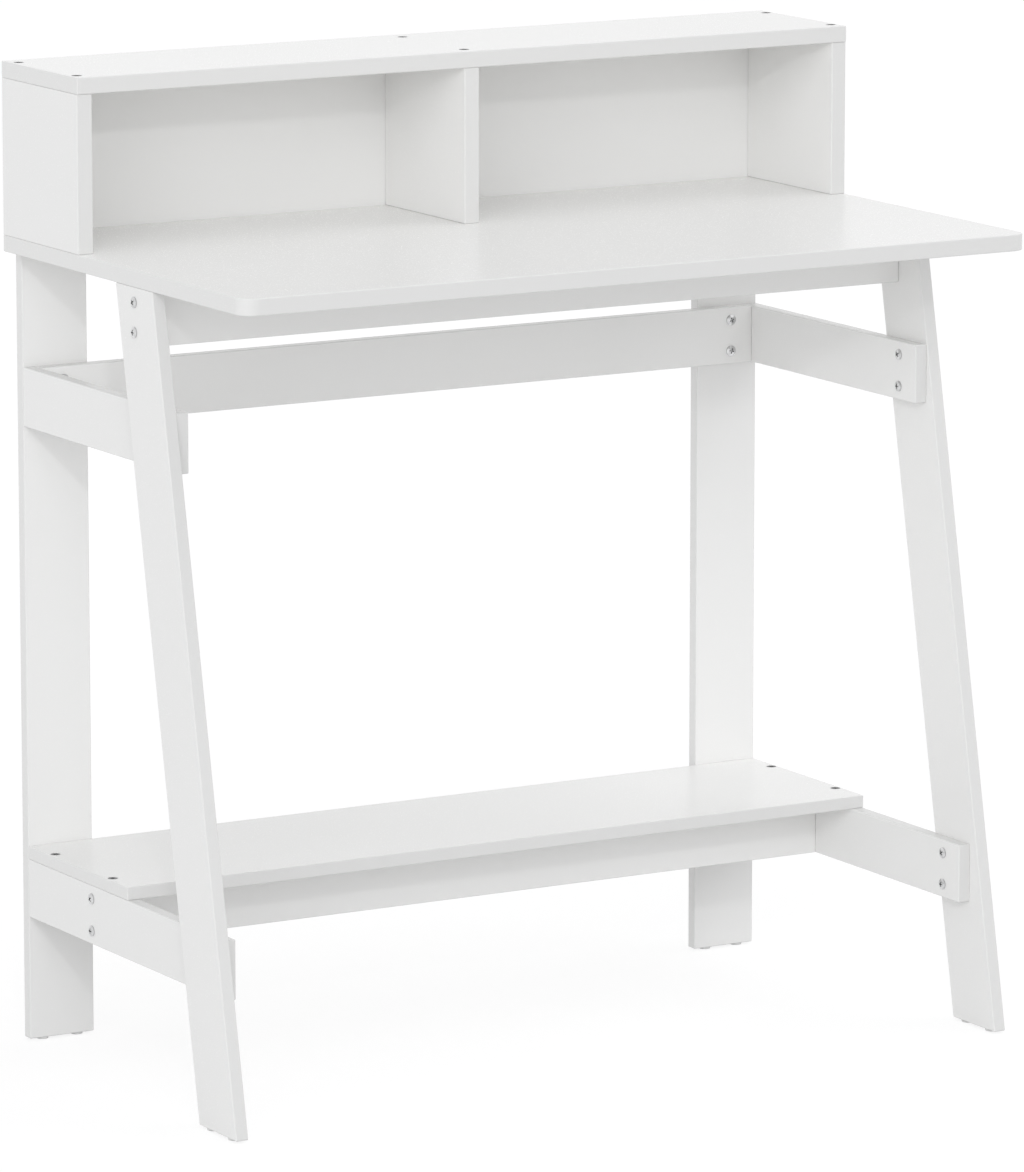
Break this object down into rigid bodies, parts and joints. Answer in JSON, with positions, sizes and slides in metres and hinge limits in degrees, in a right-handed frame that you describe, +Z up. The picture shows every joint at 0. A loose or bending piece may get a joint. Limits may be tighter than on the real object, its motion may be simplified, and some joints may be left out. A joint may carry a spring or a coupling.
{
  "type": "a-frame writing desk with hutch",
  "caption": "White A-frame writing desk of thin boards with leaning front legs, upright rear legs, a low rear shelf and an open divided hutch along the rear of the desktop.",
  "frame": {"origin": "on the floor, under the middle of the whole desk in plan", "axes": "+Z up; the desk's front, where the user sits, faces -Y; +X is to the right seen from the front"},
  "size_m": [0.8044, 0.4596, 0.9],
  "materials": {
    "white_board": "satin white foil wrapped over fibreboard, edges slightly rounded",
    "white_panel": "white lacquer on a thin hardboard panel",
    "zinc_steel": "zinc-plated steel",
    "beech": "bare beech",
    "white_plastic": "moulded plastic"
  },
  "bodies": {
    "root": {"desktop": "white_board", "hutch_top": "white_board", "hutch_left_side": "white_board", "hutch_divider": "white_board", "hutch_right_side": "white_board", "front_apron": "white_board", "rear_rail": "white_board", "shelf_cross_rail": "white_board", "lower_shelf": "white_board", "left_rear_leg": "white_board", "right_rear_leg": "white_board", "left_front_leg": "white_board", "right_front_leg": "white_board", "upper_left_side_rail": "white_board", "upper_right_side_rail": "white_board", "lower_left_side_rail": "white_board", "lower_right_side_rail": "white_board", "hutch_back_panel": "white_panel", "rear_rail_screws": "zinc_steel", "upper_rail_front_screws": "zinc_steel", "upper_rail_rear_screws": "zinc_steel", "lower_rail_front_screws": "zinc_steel", "lower_rail_rear_screws": "zinc_steel", "cross_rail_screws": "zinc_steel", "apron_screws": "zinc_steel", "shelf_screws": "zinc_steel", "hutch_top_screws": "zinc_steel", "hutch_base_screws": "zinc_steel", "bracket_screws": "zinc_steel", "hutch_back_nails": "zinc_steel", "desktop_brackets": "zinc_steel", "desktop_dowels": "beech", "foot_glides": "white_plastic"}
  },
  "joints": []
}
